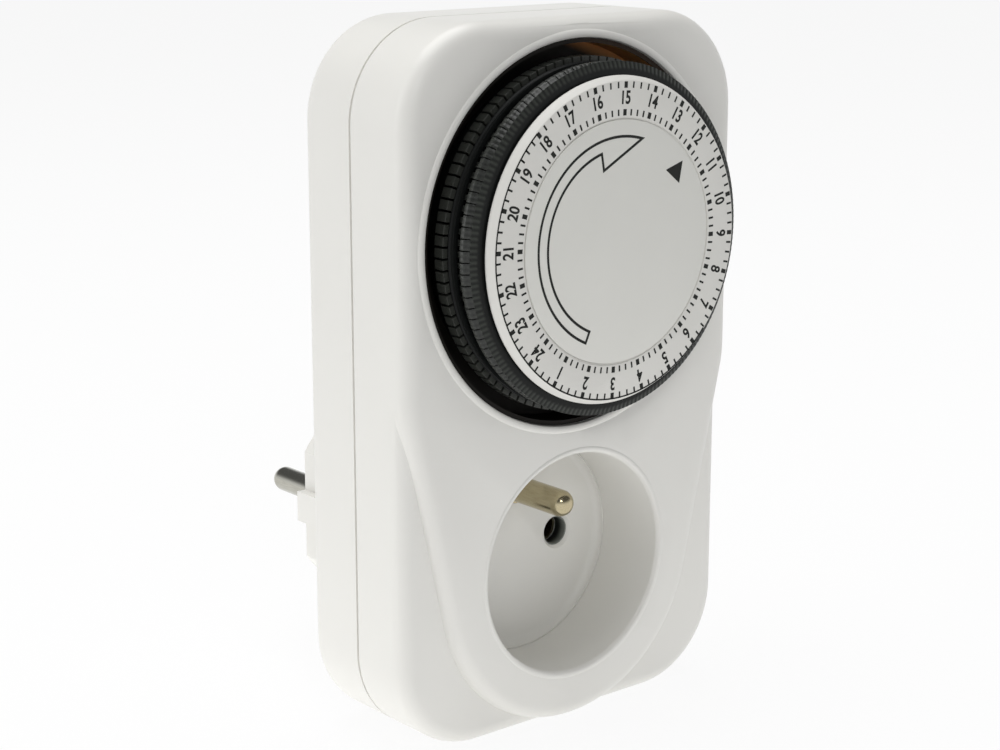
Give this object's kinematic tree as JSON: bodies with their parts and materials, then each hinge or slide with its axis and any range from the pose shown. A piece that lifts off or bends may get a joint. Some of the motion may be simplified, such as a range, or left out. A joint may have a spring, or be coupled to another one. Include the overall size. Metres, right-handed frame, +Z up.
{
  "type": "plug-in timer switch",
  "caption": "Plug-in mechanical day timer: pin plug behind, recessed earth-pin socket in front, turning dial ringed with push-in tappets above it.",
  "frame": {"origin": "centre of the plug's face, midway between its two contact pins, where they leave the face", "axes": "+Y along the pins, into the wall; +Z up; +X to the right seen from the front"},
  "size_m": [0.0752, 0.0884, 0.124],
  "materials": {
    "housing_white": "smooth moulded, faintly satin",
    "pin_nickel": "nickel-plated brass, polished",
    "earth_pin_metal": "nickel-plated brass, warm",
    "contact_brass": "plain stamped",
    "screw_steel": "zinc-plated",
    "plate_black": "matt black",
    "motor_can": "drawn can",
    "lead_pvc": "PVC",
    "disc_grey": "satin",
    "switch_brown": "phenolic",
    "liner_brown": "dark brown, glossy",
    "drum_black": "satin black",
    "ring_white": "smooth",
    "gear_ivory": "acetal",
    "tappet_grey": "satin black",
    "slider_red": "satin"
  },
  "bodies": {
    "case": {"rear_housing": "housing_white", "front_housing": "housing_white", "socket_insert": "housing_white", "housing_screws": "screw_steel", "live_pin": "pin_nickel", "neutral_pin": "pin_nickel", "plug_earth_sleeve": "contact_brass", "earth_strip": "contact_brass", "socket_earth_pin": "earth_pin_metal", "live_contact": "contact_brass", "neutral_contact": "contact_brass", "neutral_link": "contact_brass", "live_link": "contact_brass", "switched_live_link": "contact_brass", "movement_plate": "plate_black", "plate_screws": "screw_steel", "motor": "motor_can", "motor_leads": "lead_pvc", "dial_post": "plate_black", "centre_disc": "disc_grey", "idler_axle": "screw_steel", "lever_pin": "screw_steel", "switch_base": "switch_brown", "fixed_contact": "contact_brass", "well_liner": "liner_brown"},
    "dial": {"dial_drum": "drum_black", "number_ring": "ring_white", "dial_gear": "gear_ivory", "tappet_guide_ring": "drum_black"},
    "idler": {"idler_gear": "gear_ivory"},
    "pinion": {"motor_pinion": "gear_ivory"},
    "lever": {"switch_lever": "slider_red"},
    "blade": {"contact_blade": "contact_brass"},
    "override": {"override_slider": "slider_red"},
    "hour_01": {"hour_01_tappets": "tappet_grey"},
    "hour_02": {"hour_02_tappets": "tappet_grey"},
    "hour_03": {"hour_03_tappets": "tappet_grey"},
    "hour_04": {"hour_04_tappets": "tappet_grey"},
    "hour_05": {"hour_05_tappets": "tappet_grey"},
    "hour_06": {"hour_06_tappets": "tappet_grey"},
    "hour_07": {"hour_07_tappets": "tappet_grey"},
    "hour_08": {"hour_08_tappets": "tappet_grey"},
    "hour_09": {"hour_09_tappets": "tappet_grey"},
    "hour_10": {"hour_10_tappets": "tappet_grey"},
    "hour_11": {"hour_11_tappets": "tappet_grey"},
    "hour_12": {"hour_12_tappets": "tappet_grey"},
    "hour_13": {"hour_13_tappets": "tappet_grey"},
    "hour_14": {"hour_14_tappets": "tappet_grey"},
    "hour_15": {"hour_15_tappets": "tappet_grey"},
    "hour_16": {"hour_16_tappets": "tappet_grey"},
    "hour_17": {"hour_17_tappets": "tappet_grey"},
    "hour_18": {"hour_18_tappets": "tappet_grey"},
    "hour_19": {"hour_19_tappets": "tappet_grey"},
    "hour_20": {"hour_20_tappets": "tappet_grey"},
    "hour_21": {"hour_21_tappets": "tappet_grey"},
    "hour_22": {"hour_22_tappets": "tappet_grey"},
    "hour_23": {"hour_23_tappets": "tappet_grey"},
    "hour_24": {"hour_24_tappets": "tappet_grey"}
  },
  "joints": [
    {"name": "dial_turn", "type": "hinge", "parent": "case", "child": "dial", "pos_m": [0, -0.06, 0.0584], "axis": [0, 1, 0], "continuous": true},
    {"name": "idler_turn", "type": "hinge", "parent": "case", "child": "idler", "pos_m": [-0.00769, -0.05, 0.03726], "axis": [0, 1, 0], "continuous": true},
    {"name": "pinion_turn", "type": "hinge", "parent": "case", "child": "pinion", "pos_m": [-0.01804, -0.05, 0.03908], "axis": [0, 1, 0], "continuous": true},
    {"name": "lever_tilt", "type": "hinge", "parent": "case", "child": "lever", "pos_m": [0.01456, -0.04205, 0.07061], "axis": [-0.6428, 0, 0.766], "range_deg": [0, 6], "stiffness_Nm_per_rad": 0.05, "springref_deg": -5.73},
    {"name": "blade_flex", "type": "hinge", "parent": "case", "child": "blade", "pos_m": [0.01226, -0.04015, 0.06868], "axis": [-0.6428, 0, 0.766], "range_deg": [0, 4.3]},
    {"name": "override_slide", "type": "slide", "parent": "case", "child": "override", "axis": [0, 0, 1], "range_m": [0, 0.005]},
    {"name": "hour_01_push", "type": "slide", "parent": "dial", "child": "hour_01", "axis": [0, 1, 0], "range_m": [0, 0.0018]},
    {"name": "hour_02_push", "type": "slide", "parent": "dial", "child": "hour_02", "axis": [0, 1, 0], "range_m": [0, 0.0018]},
    {"name": "hour_03_push", "type": "slide", "parent": "dial", "child": "hour_03", "axis": [0, 1, 0], "range_m": [0, 0.0018]},
    {"name": "hour_04_push", "type": "slide", "parent": "dial", "child": "hour_04", "axis": [0, 1, 0], "range_m": [0, 0.0018]},
    {"name": "hour_05_push", "type": "slide", "parent": "dial", "child": "hour_05", "axis": [0, 1, 0], "range_m": [0, 0.0018]},
    {"name": "hour_06_push", "type": "slide", "parent": "dial", "child": "hour_06", "axis": [0, 1, 0], "range_m": [0, 0.0018]},
    {"name": "hour_07_push", "type": "slide", "parent": "dial", "child": "hour_07", "axis": [0, 1, 0], "range_m": [0, 0.0018]},
    {"name": "hour_08_push", "type": "slide", "parent": "dial", "child": "hour_08", "axis": [0, 1, 0], "range_m": [0, 0.0018]},
    {"name": "hour_09_push", "type": "slide", "parent": "dial", "child": "hour_09", "axis": [0, 1, 0], "range_m": [0, 0.0018]},
    {"name": "hour_10_push", "type": "slide", "parent": "dial", "child": "hour_10", "axis": [0, 1, 0], "range_m": [0, 0.0018]},
    {"name": "hour_11_push", "type": "slide", "parent": "dial", "child": "hour_11", "axis": [0, 1, 0], "range_m": [0, 0.0018]},
    {"name": "hour_12_push", "type": "slide", "parent": "dial", "child": "hour_12", "axis": [0, 1, 0], "range_m": [0, 0.0018]},
    {"name": "hour_13_push", "type": "slide", "parent": "dial", "child": "hour_13", "axis": [0, 1, 0], "range_m": [0, 0.0018]},
    {"name": "hour_14_push", "type": "slide", "parent": "dial", "child": "hour_14", "axis": [0, 1, 0], "range_m": [0, 0.0018]},
    {"name": "hour_15_push", "type": "slide", "parent": "dial", "child": "hour_15", "axis": [0, 1, 0], "range_m": [0, 0.0018]},
    {"name": "hour_16_push", "type": "slide", "parent": "dial", "child": "hour_16", "axis": [0, 1, 0], "range_m": [0, 0.0018]},
    {"name": "hour_17_push", "type": "slide", "parent": "dial", "child": "hour_17", "axis": [0, 1, 0], "range_m": [0, 0.0018]},
    {"name": "hour_18_push", "type": "slide", "parent": "dial", "child": "hour_18", "axis": [0, 1, 0], "range_m": [0, 0.0018]},
    {"name": "hour_19_push", "type": "slide", "parent": "dial", "child": "hour_19", "axis": [0, 1, 0], "range_m": [0, 0.0018]},
    {"name": "hour_20_push", "type": "slide", "parent": "dial", "child": "hour_20", "axis": [0, 1, 0], "range_m": [0, 0.0018]},
    {"name": "hour_21_push", "type": "slide", "parent": "dial", "child": "hour_21", "axis": [0, 1, 0], "range_m": [0, 0.0018]},
    {"name": "hour_22_push", "type": "slide", "parent": "dial", "child": "hour_22", "axis": [0, 1, 0], "range_m": [0, 0.0018]},
    {"name": "hour_23_push", "type": "slide", "parent": "dial", "child": "hour_23", "axis": [0, 1, 0], "range_m": [0, 0.0018]},
    {"name": "hour_24_push", "type": "slide", "parent": "dial", "child": "hour_24", "axis": [0, 1, 0], "range_m": [0, 0.0018]}
  ],
  "couplings": [
    {"joint": "idler_turn", "follows": "dial_turn", "ratio": -2},
    {"joint": "pinion_turn", "follows": "dial_turn", "ratio": 5},
    {"joint": "blade_flex", "follows": "lever_tilt", "ratio": 0.71429}
  ]
}
